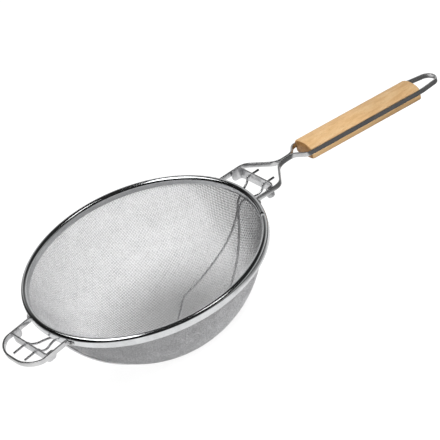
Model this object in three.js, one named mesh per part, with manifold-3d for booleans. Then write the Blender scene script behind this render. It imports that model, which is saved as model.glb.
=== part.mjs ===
// Double mesh strainer: a round bowl of two wire meshes in a folded rim hoop, carried by a
// hairpin strip handle with a wooden grip, a front ear, two cross brackets and two support wires.
// Millimetres, +Z up, +X towards the handle. The rim plane runs through the middle of the rim's bead.
import * as THREE from "three";
import { mergeVertices } from "three/addons/utils/BufferGeometryUtils.js";
import Module from "manifold-3d";

const wasm = await Module();
wasm.setup();

// Driving dimensions
const CLEARANCE = 0.3;

const RIM_RADIUS = 130;
const RIM_WIDTH = 7;
const RIM_SHEET = 0.8;
const RIM_OUTER_DROP = 5.8;
const RIM_INNER_DROP = 4.6;
const RIM_CORE_DIAMETER = 4.4;
const SEAM_ANGLE = -29.6;
const SEAM_GAP = 0.6;

const BOWL_EDGE_OUT = 0.6;
const BOWL_DEPTH = 101;
const WALL_ANGLE = 26.5;
const OUTER_MESH_THICKNESS = 0.7;
const INNER_MESH_THICKNESS = 0.5;

const STRIP_HEIGHT = 5.3;
const STRIP_THICKNESS = 2;
const STRIP_TOP = -0.1;
const FOOT_LENGTH = 9.8;
const FOOT_THICKNESS = 0.8;
const FOOT_HEIGHT = 4.2;
const FOOT_TOP = -1;

const HANDLE_DROOP = 3.5;
const GRIP_BEND = 4.8;
const YOKE_HALF_WIDTH = 31;
const YOKE_LENGTH = 28.5;
const YOKE_CORNER = 7;
const THROAT_START = 50;
const THROAT_END = 70;
const THROAT_CORNER = 9;

const GRIP_START = 84.5;
const GRIP_LENGTH = 149.5;
const GRIP_WIDTH = 28;
const GRIP_RISE = 8.7;
const GRIP_FALL = 9.4;
const GRIP_CORNER = 2.5;
const GRIP_END_ROUND = 1.5;
const LOOP_LENGTH = 31.57;
const LOOP_RADIUS = 10;

const EAR_DROOP = 3.3;
const EAR_HALF_WIDTH = 32.3;
const EAR_LENGTH = 43.8;
const EAR_LEG = 25;
const EAR_FRONT_FLAT = 12;

const BRACKET_THICKNESS = 1.5;
const REAR_BRACKET_OUT = 21.5;
const REAR_BRACKET_HEIGHT = 13;
const REAR_BRACKET_RISE = 0.9;
const REAR_BRACKET_CORNER = 6;
const REAR_TAB_LENGTH = 11;
const FRONT_BRACKET_OUT = 21;
const FRONT_BRACKET_HEIGHT = 11;
const FRONT_BRACKET_RISE = 0.4;
const FRONT_BRACKET_CORNER = 2.5;
const FRONT_TAB_LENGTH = 10;
const TAB_ROUND = 4.5;

const WIRE_DIAMETER = 2.6;
const REAR_WIRE_HALF_PITCH = 12.7;
const FRONT_WIRE_HALF_PITCH = 9.7;
const REAR_HOLE_DEPTH = 4.4;
const FRONT_HOLE_DEPTH = 5.2;
const REAR_WIRE_STUB = 12;
const FRONT_WIRE_STUB = 15;
const WIRE_PINCH_INSET = 13;
const WIRE_SPREAD = 28;
const WIRE_SPREAD_X = 39;
const WIRE_UNDER_RIM = 7.7;
const WIRE_BOW_CORNER = 16;
const WIRE_KINK_CORNER = 5;
const WIRE_MIDDLE_CORNER = 8;
const WIRE_DROP_RUN = 5.5;
const WIRE_LEVEL_RUN = 12;
const WIRE_RIM_OUT = 2;
const WIRE_NARROWING = 1.5;

const RIVET_SHANK = 2.5;
const RIVET_HEAD = 4;
const RIVET_DOME = 0.7;
const RIVET_TAIL = 0.9;
const RIVET_FROM_LEG = 5;
const RIVET_DROP = 3.2;

const RING_SEGMENTS = 64;
const ROD_SIDES = 8;
const ROD_STEPS = 110;
const WIRE_POINTS = 60;

// Finishes
const plated = { color: 0xb9bcbd, metalness: 1, roughness: 0.22 };
const dullSteel = { color: 0x76797a, metalness: 1, roughness: 0.38 };
const tinnedMesh = { color: 0xaeb0af, metalness: 0.9, roughness: 0.45 };
const beech = { color: 0xd9a86a, metalness: 0, roughness: 0.55 };

// Worked-out values
const radians = THREE.MathUtils.degToRad;
const beadRadius = RIM_WIDTH / 2;
const rimCentre = RIM_RADIUS - beadRadius;
const wallAngle = radians(WALL_ANGLE);
const bowlTopZ = -RIM_CORE_DIAMETER / 2 - CLEARANCE;
const bowlTopRadius = rimCentre + BOWL_EDGE_OUT;
// The ball whose lowest point is at the bowl's depth and which the wall from the rim touches
const bowlRadius =
  (bowlTopRadius * Math.cos(wallAngle) - (bowlTopZ + BOWL_DEPTH) * Math.sin(wallAngle)) /
  (1 - Math.sin(wallAngle));
const bowlCentreZ = bowlRadius - BOWL_DEPTH;
const footRadius = RIM_RADIUS + CLEARANCE;
const stripMid = STRIP_TOP - STRIP_HEIGHT / 2;
const gripSide = GRIP_WIDTH / 2 - STRIP_THICKNESS / 2;
const throatSide = STRIP_THICKNESS / 2 + CLEARANCE / 2;

// Solids from geometry and back, for cutting and joining
function toSolid(geometry) {
  const bare = new THREE.BufferGeometry();
  bare.setAttribute("position", geometry.getAttribute("position"));
  bare.setIndex(geometry.index);
  const merged = mergeVertices(bare, 1e-4);
  const vertProperties = merged.getAttribute("position").array;
  const triVerts = new Uint32Array(merged.index.array);
  return new wasm.Manifold(new wasm.Mesh({ numProp: 3, vertProperties, triVerts }));
}

function toGeometry(solid) {
  const mesh = solid.getMesh();
  const geometry = new THREE.BufferGeometry();
  geometry.setAttribute("position", new THREE.BufferAttribute(mesh.vertProperties, 3));
  geometry.setIndex(new THREE.BufferAttribute(mesh.triVerts, 1));
  return geometry;
}

function cut(geometry, tools) {
  let solid = toSolid(geometry);
  for (const tool of tools) {
    solid = solid.subtract(toSolid(tool));
  }
  return toGeometry(solid);
}

// A plan path through corners [x, y, rounding], starting and ending on plain points
function roundedPath(path, corners) {
  corners.forEach(([x, y, rounding], i) => {
    if (!rounding) {
      path.lineTo(x, y);
      return;
    }
    const corner = new THREE.Vector2(x, y);
    const before = path.currentPoint.clone();
    const after = new THREE.Vector2(corners[i + 1][0], corners[i + 1][1]);
    const inward = before.sub(corner).setLength(rounding).add(corner);
    const outward = after.sub(corner).setLength(rounding).add(corner);
    path.lineTo(inward.x, inward.y);
    path.quadraticCurveTo(x, y, outward.x, outward.y);
  });
  return path;
}

// A flat strip standing on edge along a plan line, top face at z = top
function stripGeometry(line, thickness, height, top) {
  const normals = line.map((p, i) => {
    const back = line[Math.max(i - 1, 0)];
    const ahead = line[Math.min(i + 1, line.length - 1)];
    const before = p.clone().sub(back).normalize();
    const after = ahead.clone().sub(p).normalize();
    const along = before.clone().add(after).normalize();
    const miter = Math.max(along.dot(i ? before : after), 0.5);
    return new THREE.Vector2(-along.y, along.x).divideScalar(miter);
  });
  const left = line.map((p, i) => p.clone().addScaledVector(normals[i], thickness / 2));
  const right = line.map((p, i) => p.clone().addScaledVector(normals[i], -thickness / 2));
  const outline = new THREE.Shape([...left, ...right.reverse()]);
  const strip = new THREE.ExtrudeGeometry(outline, { depth: height, bevelEnabled: false });
  return strip.translate(0, 0, top - height);
}

// A half plan line with y > 0, mirrored into a whole hairpin
function mirrored(half) {
  const other = half.map((p) => new THREE.Vector2(p.x, -p.y)).reverse();
  const shared = Math.abs(half.at(-1).y) < 1e-6 ? 1 : 0;
  return [...half, ...other.slice(shared)];
}

function rodAlongX(diameter, length, sides) {
  return new THREE.CylinderGeometry(diameter / 2, diameter / 2, length, sides).rotateZ(Math.PI / 2);
}

function ring(profile) {
  const lathe = new THREE.LatheGeometry([...profile, profile[0]], RING_SEGMENTS);
  return lathe.rotateX(Math.PI / 2);
}

// Rim: a sheet folded into an inverted channel over a core wire, butted at one seam
function channelSide(radius, drop, angles) {
  const arc = angles.map(
    (a) => new THREE.Vector2(rimCentre + radius * Math.cos(a), radius * Math.sin(a)),
  );
  return [new THREE.Vector2(arc[0].x, -drop), ...arc];
}

function rimHoop() {
  const steps = 8;
  const sweep = Array.from({ length: steps + 1 }, (_, i) => (Math.PI * i) / steps);
  const outer = channelSide(beadRadius, RIM_OUTER_DROP, sweep);
  outer.push(new THREE.Vector2(rimCentre - beadRadius, -RIM_INNER_DROP));
  const inner = channelSide(beadRadius - RIM_SHEET, RIM_OUTER_DROP, sweep);
  inner.push(new THREE.Vector2(rimCentre - beadRadius + RIM_SHEET, -RIM_INNER_DROP));
  const hoop = ring([...outer, ...inner.reverse()]);
  const seam = new THREE.BoxGeometry(3 * RIM_WIDTH, SEAM_GAP, 4 * RIM_OUTER_DROP);
  seam.translate(rimCentre, 0, 0).rotateZ(radians(SEAM_ANGLE));
  return cut(hoop, [seam, ...rivetPlaces().map((place) => rivetHole(place))]);
}

function rimCoreWire() {
  return new THREE.TorusGeometry(rimCentre, RIM_CORE_DIAMETER / 2, ROD_SIDES, RING_SEGMENTS);
}

// Bowl meshes: a ball cap running up into a straight wall that ends below the rim's core wire
function bowlLine(offset) {
  const radius = bowlRadius - offset;
  const steps = 10;
  const cap = Array.from({ length: steps + 1 }, (_, i) => {
    const a = -Math.PI / 2 + ((Math.PI / 2 - wallAngle) * i) / steps;
    return new THREE.Vector2(radius * Math.cos(a), bowlCentreZ + radius * Math.sin(a));
  });
  const knee = cap.at(-1);
  const top = new THREE.Vector2(knee.x + (bowlTopZ - knee.y) * Math.tan(wallAngle), bowlTopZ);
  cap[0].x = 0;
  return [...cap, top];
}

function meshBowl(offset, thickness) {
  const outside = bowlLine(offset);
  const inside = bowlLine(offset + thickness);
  const profile = [...outside, ...inside.reverse()];
  return new THREE.LatheGeometry(profile, RING_SEGMENTS).rotateX(Math.PI / 2);
}

// Height of the surface that lies a given distance outside the bowl, at a plan radius
function outsideHeight(planRadius, distance) {
  const radius = bowlRadius + distance;
  const kneeRadius = radius * Math.cos(wallAngle);
  if (planRadius < kneeRadius) {
    return bowlCentreZ - Math.sqrt(radius * radius - planRadius * planRadius);
  }
  const kneeZ = bowlCentreZ - radius * Math.sin(wallAngle);
  return kneeZ + (planRadius - kneeRadius) / Math.tan(wallAngle);
}

// A leg of a strip starts inside the rim's wall at y = halfWidth and is trimmed to it later
function legPath(halfWidth, legEnd) {
  const path = new THREE.Path();
  path.moveTo(Math.sqrt(RIM_RADIUS * RIM_RADIUS - halfWidth * halfWidth) - STRIP_THICKNESS, halfWidth);
  return roundedPath(path, legEnd);
}

// A leg's end is beaten flat into a thin foot that turns outwards along the rim
function footPlate(halfWidth, way) {
  const start = Math.asin((halfWidth - STRIP_THICKNESS / 2) / footRadius);
  const end = start + FOOT_LENGTH / footRadius;
  const [from, to] = way > 0 ? [start, end] : [-end, -start];
  const plan = new THREE.Shape();
  plan.absarc(0, 0, footRadius + FOOT_THICKNESS, from, to, false);
  plan.absarc(0, 0, footRadius - FOOT_THICKNESS, to, from, true);
  const depth = FOOT_HEIGHT;
  const plate = new THREE.ExtrudeGeometry(plan, { depth, bevelEnabled: false, curveSegments: 6 });
  return plate.translate(0, 0, FOOT_TOP - FOOT_HEIGHT);
}

// Both legs of a drooping strip get upright feet, fitted to the rim's wall and holed for the rivets
function withFeet(strip, halfWidth, droop) {
  const leanBack = (geometry) =>
    geometry
      .translate(-RIM_RADIUS, 0, -stripMid)
      .rotateY(-radians(droop))
      .translate(RIM_RADIUS, 0, stripMid);
  const plates = [1, -1].map((way) => toSolid(leanBack(footPlate(halfWidth, way))));
  const joined = plates.reduce((solid, plate) => solid.add(plate), toSolid(strip));
  const wall = new THREE.CylinderGeometry(
    footRadius,
    footRadius,
    8 * STRIP_HEIGHT,
    2 * RING_SEGMENTS,
  ).rotateX(Math.PI / 2);
  const holes = [1, -1].map((way) => rivetHole({ angle: way * rivetAngle(halfWidth) }));
  return cut(toGeometry(joined), [wall, ...holes].map(leanBack));
}

// Past the throat the handle bends further down, away from the plane of the yoke
function bentDown(geometry) {
  const start = RIM_RADIUS + THROAT_END;
  const slope = Math.tan(radians(GRIP_BEND));
  const points = geometry.getAttribute("position");
  for (let i = 0; i < points.count; i += 1) {
    points.setZ(i, points.getZ(i) - slope * Math.max(points.getX(i) - start, 0));
  }
  return geometry;
}

// Handle frame: feet, yoke legs, throat, grip sides and hanging loop in one bent strip
function handleFrame() {
  const end = RIM_RADIUS + GRIP_START + GRIP_LENGTH + LOOP_LENGTH - STRIP_THICKNESS / 2;
  const path = legPath(YOKE_HALF_WIDTH, [
    [RIM_RADIUS + YOKE_LENGTH, YOKE_HALF_WIDTH, YOKE_CORNER],
    [RIM_RADIUS + THROAT_START, throatSide, THROAT_CORNER],
    [RIM_RADIUS + THROAT_END, throatSide, THROAT_CORNER / 2],
    [RIM_RADIUS + GRIP_START - THROAT_CORNER / 2, gripSide, THROAT_CORNER / 2],
    [end - LOOP_LENGTH + THROAT_CORNER / 2, gripSide, THROAT_CORNER / 2],
    [end - LOOP_RADIUS, LOOP_RADIUS],
  ]);
  path.absarc(end - LOOP_RADIUS, 0, LOOP_RADIUS, Math.PI / 2, 0, true);
  const strip = stripGeometry(mirrored(path.getPoints(6)), STRIP_THICKNESS, STRIP_HEIGHT, STRIP_TOP);
  return withFeet(bentDown(strip), YOKE_HALF_WIDTH, HANDLE_DROOP);
}

// Front ear: the same strip bent into a bow that hooks over a pot
function frontEar() {
  const end = RIM_RADIUS + EAR_LENGTH - STRIP_THICKNESS / 2;
  const path = legPath(EAR_HALF_WIDTH, [[RIM_RADIUS + EAR_LEG, EAR_HALF_WIDTH]]);
  const bow = EAR_LENGTH - EAR_LEG;
  path.bezierCurveTo(
    RIM_RADIUS + EAR_LEG + bow * 0.4,
    EAR_HALF_WIDTH,
    end,
    EAR_HALF_WIDTH - bow * 0.65,
    end,
    EAR_FRONT_FLAT / 2,
  );
  const strip = stripGeometry(mirrored(path.getPoints(8)), STRIP_THICKNESS, STRIP_HEIGHT, STRIP_TOP);
  return withFeet(strip, EAR_HALF_WIDTH, EAR_DROOP);
}

// Cross bracket: a wall between the legs with round-ended tabs turned back along them
function crossBracket({ halfWidth, out, height, rise, bend, tab, wirePitch, holeDepth }) {
  const side = halfWidth - STRIP_THICKNESS / 2 - CLEARANCE - BRACKET_THICKNESS / 2;
  const wallX = RIM_RADIUS + out;
  const path = new THREE.Path();
  path.moveTo(wallX - tab, side);
  roundedPath(path, [
    [wallX, side, bend],
    [wallX, 0],
  ]);
  const top = STRIP_TOP + rise;
  const strip = stripGeometry(mirrored(path.getPoints(5)), BRACKET_THICKNESS, height, top);
  const holes = [1, -1].map((way) =>
    rodAlongX(WIRE_DIAMETER + 2 * CLEARANCE, 4 * BRACKET_THICKNESS, 2 * ROD_SIDES).translate(
      wallX,
      (way * wirePitch) / 2,
      STRIP_TOP - holeDepth,
    ),
  );
  const trims = [top - TAB_ROUND, top - height + TAB_ROUND].map((z, i) =>
    tabTrim(wallX - tab, z, i ? -1 : 1, side),
  );
  return cut(strip, [...holes, ...trims]);
}

// What is cut off a tab's end to leave a round corner: way is 1 for the upper corner
function tabTrim(endX, centreZ, way, side) {
  const corner = new THREE.Shape();
  corner.moveTo(-1, 0);
  corner.lineTo(0, 0);
  corner.absarc(TAB_ROUND, 0, TAB_ROUND, Math.PI, Math.PI / 2, true);
  corner.lineTo(TAB_ROUND, TAB_ROUND + 1);
  corner.lineTo(-1, TAB_ROUND + 1);
  const depth = 4 * side;
  const trim = new THREE.ExtrudeGeometry(corner, { depth, bevelEnabled: false, curveSegments: 5 });
  trim.translate(0, 0, -depth / 2).rotateX(way > 0 ? Math.PI / 2 : -Math.PI / 2);
  return trim.translate(endX, 0, centreZ);
}

// Wooden grip: a domed top on a flat-bottomed block, with a groove in each side for the strip
function woodGrip() {
  const half = GRIP_WIDTH / 2;
  const shoulder = STRIP_HEIGHT / 2 + CLEARANCE;
  const section = new THREE.Shape();
  section.moveTo(half, GRIP_CORNER - GRIP_FALL);
  section.lineTo(half, shoulder);
  section.absellipse(0, shoulder, half, GRIP_RISE - shoulder, 0, Math.PI, false);
  section.lineTo(-half, GRIP_CORNER - GRIP_FALL);
  section.quadraticCurveTo(-half, -GRIP_FALL, GRIP_CORNER - half, -GRIP_FALL);
  section.lineTo(half - GRIP_CORNER, -GRIP_FALL);
  section.quadraticCurveTo(half, -GRIP_FALL, half, GRIP_CORNER - GRIP_FALL);
  const block = new THREE.ExtrudeGeometry(section, {
    depth: GRIP_LENGTH - 2 * GRIP_END_ROUND,
    bevelThickness: GRIP_END_ROUND,
    bevelSize: GRIP_END_ROUND,
    bevelOffset: -GRIP_END_ROUND,
    bevelSegments: 2,
    curveSegments: 6,
  });
  block.translate(0, 0, GRIP_END_ROUND).rotateX(Math.PI / 2).rotateZ(Math.PI / 2);
  block.translate(RIM_RADIUS + GRIP_START, 0, stripMid);
  const grooves = [1, -1].map((way) =>
    new THREE.BoxGeometry(
      2 * GRIP_LENGTH,
      2 * (STRIP_THICKNESS + CLEARANCE),
      STRIP_HEIGHT + 2 * CLEARANCE,
    ).translate(RIM_RADIUS + GRIP_START, way * half, stripMid),
  );
  return bentDown(cut(block, grooves));
}

// Support wire on the y > 0 side: stub, rear hole, under the bowl, front hole, stub
function supportWire() {
  const lift = CLEARANCE + WIRE_DIAMETER / 2;
  const near = WIRE_DIAMETER / 2 + CLEARANCE / 2;
  const onBowl = (x, y) => [x, y, outsideHeight(Math.hypot(x, y), lift)];
  const hole = (way, out, droop, depth, halfPitch, step) => {
    const drop = depth + Math.tan(radians(droop)) * (out + step);
    return [way * (RIM_RADIUS + out + step), halfPitch, STRIP_TOP - drop];
  };
  const rear = (step) =>
    hole(1, REAR_BRACKET_OUT, HANDLE_DROOP, REAR_HOLE_DEPTH, REAR_WIRE_HALF_PITCH, step);
  const front = (step) =>
    hole(-1, FRONT_BRACKET_OUT, EAR_DROOP, FRONT_HOLE_DEPTH, FRONT_WIRE_HALF_PITCH, step);
  const underRim = -RIM_OUTER_DROP - WIRE_UNDER_RIM;
  const level = (way, x, y, drop) => [way * (RIM_RADIUS + x), y, underRim - drop];
  const bracketClear = 1.5 * BRACKET_THICKNESS;
  const pinchX = RIM_RADIUS - WIRE_PINCH_INSET;
  const bowX = (pinchX + WIRE_SPREAD_X) / 2;
  const bowY = WIRE_SPREAD * 0.68;
  const plan = new THREE.Path();
  plan.moveTo(pinchX, near);
  roundedPath(plan, [
    [bowX, bowY, WIRE_BOW_CORNER],
    [WIRE_SPREAD_X, WIRE_SPREAD, WIRE_KINK_CORNER],
    [0, near, WIRE_MIDDLE_CORNER],
    [-WIRE_SPREAD_X, WIRE_SPREAD, WIRE_KINK_CORNER],
    [-bowX, bowY, WIRE_BOW_CORNER],
    [-pinchX, near],
  ]);
  const fall = (way, out, halfPitch) => [
    level(way, out - WIRE_DROP_RUN, halfPitch, -2 * WIRE_NARROWING),
    level(way, out - WIRE_LEVEL_RUN, halfPitch - WIRE_NARROWING, 0),
    level(way, WIRE_RIM_OUT, (halfPitch + near) / 2, 0),
    level(way, -WIRE_DROP_RUN, near + WIRE_NARROWING, WIRE_NARROWING),
  ];
  const points = [
    rear(REAR_WIRE_STUB),
    rear(bracketClear),
    rear(-bracketClear),
    ...fall(1, REAR_BRACKET_OUT, REAR_WIRE_HALF_PITCH),
    ...plan.getSpacedPoints(WIRE_POINTS).map(({ x, y }) => onBowl(x, y)),
    ...fall(-1, FRONT_BRACKET_OUT, FRONT_WIRE_HALF_PITCH).reverse(),
    front(-bracketClear),
    front(bracketClear),
    front(FRONT_WIRE_STUB),
  ].map(([x, y, z]) => new THREE.Vector3(x, y, z));
  const route = new THREE.CatmullRomCurve3(points, false, "centripetal");
  const section = new THREE.Shape();
  section.absarc(0, 0, WIRE_DIAMETER / 2, 0, 2 * Math.PI);
  return new THREE.ExtrudeGeometry(section, {
    extrudePath: route,
    steps: ROD_STEPS,
    curveSegments: ROD_SIDES / 2,
  });
}

// Rivets: one through each strip foot and the rim's outer wall
function rivetAngle(halfWidth) {
  return (halfWidth + RIVET_FROM_LEG) / RIM_RADIUS;
}

function rivetPlaces() {
  const rear = rivetAngle(YOKE_HALF_WIDTH);
  const front = Math.PI - rivetAngle(EAR_HALF_WIDTH);
  return [
    { name: "yoke_rivet_left", angle: rear },
    { name: "yoke_rivet_right", angle: -rear },
    { name: "ear_rivet_left", angle: front },
    { name: "ear_rivet_right", angle: -front },
  ];
}

function rivetHole({ angle }) {
  const hole = rodAlongX(RIVET_SHANK + 2 * CLEARANCE, 2 * RIM_SHEET + RIM_WIDTH / 2, 2 * ROD_SIDES);
  return hole.translate(RIM_RADIUS, 0, -RIVET_DROP).rotateZ(angle);
}

function rivet({ angle }) {
  const inside = RIM_RADIUS - RIM_SHEET - CLEARANCE;
  const outside = footRadius + FOOT_THICKNESS + CLEARANCE;
  const profile = [
    [0, inside - RIVET_TAIL],
    [RIVET_HEAD * 0.4, inside - RIVET_TAIL],
    [RIVET_HEAD * 0.4, inside],
    [RIVET_SHANK / 2, inside],
    [RIVET_SHANK / 2, outside],
    [RIVET_HEAD / 2, outside],
    [RIVET_HEAD * 0.42, outside + RIVET_DOME * 0.6],
    [RIVET_HEAD * 0.24, outside + RIVET_DOME * 0.92],
    [0, outside + RIVET_DOME],
  ].map(([r, along]) => new THREE.Vector2(r, along));
  const body = new THREE.LatheGeometry(profile, 2 * ROD_SIDES).rotateZ(-Math.PI / 2);
  return body.translate(0, 0, -RIVET_DROP).rotateZ(angle);
}

// Assembly
function piece(name, geometry, finish) {
  const mesh = new THREE.Mesh(geometry, new THREE.MeshStandardMaterial(finish));
  mesh.name = name;
  return mesh;
}

// A frame that droops about the line where a strip leaves the rim
function droopingGroup(droop, turn) {
  const hinge = new THREE.Group();
  hinge.position.set(turn * RIM_RADIUS, 0, stripMid);
  hinge.rotation.y = turn * radians(droop);
  const level = new THREE.Group();
  level.position.set(-turn * RIM_RADIUS, 0, -stripMid);
  level.rotation.z = turn > 0 ? 0 : Math.PI;
  hinge.add(level);
  return { hinge, level };
}

const strainer = new THREE.Group();
strainer.add(piece("rim_hoop", rimHoop(), plated));
strainer.add(piece("rim_core_wire", rimCoreWire(), dullSteel));
strainer.add(piece("outer_mesh_bowl", meshBowl(0, OUTER_MESH_THICKNESS), tinnedMesh));
const innerOffset = OUTER_MESH_THICKNESS + CLEARANCE;
strainer.add(piece("inner_mesh_bowl", meshBowl(innerOffset, INNER_MESH_THICKNESS), tinnedMesh));

const handle = droopingGroup(HANDLE_DROOP, 1);
handle.level.add(piece("handle_frame", handleFrame(), dullSteel));
handle.level.add(piece("wood_grip", woodGrip(), beech));
const rearBracket = crossBracket({
  halfWidth: YOKE_HALF_WIDTH,
  out: REAR_BRACKET_OUT,
  height: REAR_BRACKET_HEIGHT,
  rise: REAR_BRACKET_RISE,
  bend: REAR_BRACKET_CORNER,
  tab: REAR_TAB_LENGTH,
  wirePitch: 2 * REAR_WIRE_HALF_PITCH,
  holeDepth: REAR_HOLE_DEPTH,
});
handle.level.add(piece("rear_bracket", rearBracket, plated));
strainer.add(handle.hinge);

const ear = droopingGroup(EAR_DROOP, -1);
ear.level.add(piece("front_ear", frontEar(), dullSteel));
const frontBracket = crossBracket({
  halfWidth: EAR_HALF_WIDTH,
  out: FRONT_BRACKET_OUT,
  height: FRONT_BRACKET_HEIGHT,
  rise: FRONT_BRACKET_RISE,
  bend: FRONT_BRACKET_CORNER,
  tab: FRONT_TAB_LENGTH,
  wirePitch: 2 * FRONT_WIRE_HALF_PITCH,
  holeDepth: FRONT_HOLE_DEPTH,
});
ear.level.add(piece("front_bracket", frontBracket, plated));
strainer.add(ear.hinge);

const leftWire = supportWire();
strainer.add(piece("support_wire_left", leftWire, plated));
strainer.add(piece("support_wire_right", leftWire, plated));
strainer.children.at(-1).scale.y = -1;

for (const place of rivetPlaces()) {
  strainer.add(piece(place.name, rivet(place), plated));
}

// The part stands on z = 0 with its box centred on the origin
strainer.updateMatrixWorld(true);
const box = new THREE.Box3().setFromObject(strainer, true);
const middle = box.getCenter(new THREE.Vector3());
strainer.position.set(-middle.x, -middle.y, -box.min.z);

export default strainer;
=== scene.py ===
# %% [markdown]
# # A double mesh strainer
# A round bowl of two woven wire meshes hangs in a folded rim. A flat strip, bent like a hairpin, is the
# handle frame and holds a wooden grip. A smaller bow of the same strip is the ear that rests on a pot.
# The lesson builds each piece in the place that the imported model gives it, then dresses it.

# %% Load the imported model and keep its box
import math
import bpy
import numpy as np
from mathutils import Matrix, Vector


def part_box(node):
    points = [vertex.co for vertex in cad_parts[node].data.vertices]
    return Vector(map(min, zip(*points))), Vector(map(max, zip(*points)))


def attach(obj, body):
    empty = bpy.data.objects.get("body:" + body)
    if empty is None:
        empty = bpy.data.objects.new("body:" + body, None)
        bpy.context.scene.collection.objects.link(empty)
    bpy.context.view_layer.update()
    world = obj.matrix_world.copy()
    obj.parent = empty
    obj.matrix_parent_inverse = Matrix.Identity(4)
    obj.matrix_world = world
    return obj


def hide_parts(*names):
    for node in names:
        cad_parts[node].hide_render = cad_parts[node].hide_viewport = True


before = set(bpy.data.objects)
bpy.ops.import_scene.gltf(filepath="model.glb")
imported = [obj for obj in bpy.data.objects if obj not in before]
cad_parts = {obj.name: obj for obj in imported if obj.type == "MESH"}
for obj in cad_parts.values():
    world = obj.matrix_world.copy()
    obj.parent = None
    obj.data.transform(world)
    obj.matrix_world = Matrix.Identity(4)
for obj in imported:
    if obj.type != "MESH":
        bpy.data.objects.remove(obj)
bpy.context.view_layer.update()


# %% [markdown]
# All other places follow from two values: the bowl's axis and the height of the middle of the rim's
# round bead. Both are read from the rim's own box, so the scene moves with the model if that changes.
# Lengths below are typed in millimetres, as on a drawing, and turned into metres where they are used.

# %% The bowl's axis and the rim's height
MM = 0.001
rim_low, rim_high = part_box("rim_hoop")
axis_x = (rim_low[0] + rim_high[0]) / 2
bead_radius = 3.5
rim_z = rim_high[2] - bead_radius * MM
rim_radius = (rim_high[0] - rim_low[0]) / 2 / MM


def at(x, y, z):
    """A point given in millimetres from the middle of the rim, in metres in the model's frame."""
    return Vector((axis_x + x * MM, y * MM, rim_z + z * MM))


print("axis", round(axis_x, 5), "rim height", round(rim_z, 5), "rim radius", round(rim_radius, 2))

# %% [markdown]
# Operators act on whatever is selected, and the loaded model is selected when it arrives. These helpers
# clear the selection, hand one object to the operators, and run its modifiers into the mesh.

# %% Helpers for selecting and finishing
def clear_selection():
    if bpy.context.object and bpy.context.object.mode != "OBJECT":
        bpy.ops.object.mode_set(mode="OBJECT")
    bpy.ops.object.select_all(action="DESELECT")


def take(obj):
    clear_selection()
    obj.select_set(True)
    bpy.context.view_layer.objects.active = obj
    return obj


def apply_modifiers(obj):
    take(obj)
    for name in [m.name for m in obj.modifiers]:
        bpy.ops.object.modifier_apply(modifier=name)


def settle(obj, angle=35):
    """Writes the object's place into its mesh and smooths all but its sharp edges."""
    take(obj)
    bpy.ops.object.transform_apply(location=True, rotation=True, scale=True)
    bpy.ops.object.shade_smooth_by_angle(angle=math.radians(angle))
    return obj


def report(obj):
    mesh = obj.data
    mesh.calc_loop_triangles()
    corners = [v.co for v in mesh.vertices]
    low = [round(min(c[i] for c in corners), 4) for i in range(3)]
    high = [round(max(c[i] for c in corners), 4) for i in range(3)]
    print(obj.name, len(mesh.loop_triangles), "triangles", low, high)


# %% [markdown]
# The camera stands where the photographer stood: in front of the bowl, to the left and above, with the
# camera tipped a little so that the handle climbs to the upper right corner. It is far away with a long
# lens, which is why the rim looks like a nearly true ellipse.

# %% Camera
picture_px, focal_px, sensor_mm = 440, 3000, 36
camera_data = bpy.data.cameras.new("camera")
camera_data.sensor_width = sensor_mm
camera_data.lens = focal_px * sensor_mm / picture_px
camera_data.shift_x = -0.5 / picture_px
camera_data.shift_y = 0.5 / picture_px
camera = bpy.data.objects.new("camera", camera_data)
bpy.context.collection.objects.link(camera)
right = Vector((0.74447, -0.60413, -0.28425))
up = Vector((0.55211, 0.31765, 0.77089))
back = right.cross(up)
turn = Matrix((right, up, back)).transposed().to_4x4()
camera_place = at(-1052.9, -2235.3, 1723.2)
camera.matrix_world = Matrix.Translation(camera_place) @ turn
bpy.context.scene.camera = camera
print("camera at", [round(v, 3) for v in camera.location])

# %% [markdown]
# Bright metal shows its surroundings more than itself, so the studio is part of the finish. The floor is
# plain and pale. Seen in the metal it is a lit table: bright round the bowl, with its light falling off
# towards two sides. The upper room is dim, so that a polished edge gets its dark line. What the camera
# sees of the floor glows by itself, so that it stays white. A floor that glows hides most of a real
# shadow, so a soft round shade is painted on it under the bowl.

# %% Helpers for tones that fade
def map_range(links, nodes, value, start, stop, first, last, kind="SMOOTHSTEP"):
    """Carries a value from the range start to stop over to the range first to last."""
    fade = nodes.new("ShaderNodeMapRange")
    fade.interpolation_type = kind
    numbers = {"From Min": start, "From Max": stop, "To Min": first, "To Max": last}
    for socket, number in numbers.items():
        fade.inputs[socket].default_value = number
    links.new(value, fade.inputs["Value"])
    return fade.outputs[0]


def falling_off(links, nodes, point, towards, start, stop, high, low):
    """A smooth fall from high to low along a direction, between two distances from the origin."""
    along = nodes.new("ShaderNodeVectorMath")
    along.operation = "DOT_PRODUCT"
    along.inputs[1].default_value = towards
    links.new(point, along.inputs[0])
    return map_range(links, nodes, along.outputs["Value"], start, stop, high, low)


def times(links, nodes, a, b):
    product = nodes.new("ShaderNodeMath")
    product.operation = "MULTIPLY"
    links.new(a, product.inputs[0])
    links.new(b, product.inputs[1])
    return product.outputs[0]


def toned(links, nodes, colour, tone):
    """The colour made lighter or darker by a tone."""
    scaled = nodes.new("ShaderNodeVectorMath")
    scaled.operation = "SCALE"
    links.new(colour, scaled.inputs[0])
    links.new(tone, scaled.inputs["Scale"])
    return scaled.outputs[0]


def seen_or_bounced(links, nodes, seen, bounced, output):
    """Shows one shader to the camera and the other to every other ray."""
    path = nodes.new("ShaderNodeLightPath")
    choose = nodes.new("ShaderNodeMixShader")
    links.new(path.outputs["Is Camera Ray"], choose.inputs["Fac"])
    links.new(bounced.outputs[0], choose.inputs[1])
    links.new(seen.outputs[0], choose.inputs[2])
    links.new(choose.outputs[0], output.inputs["Surface"])


print("tone helpers ready")

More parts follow.
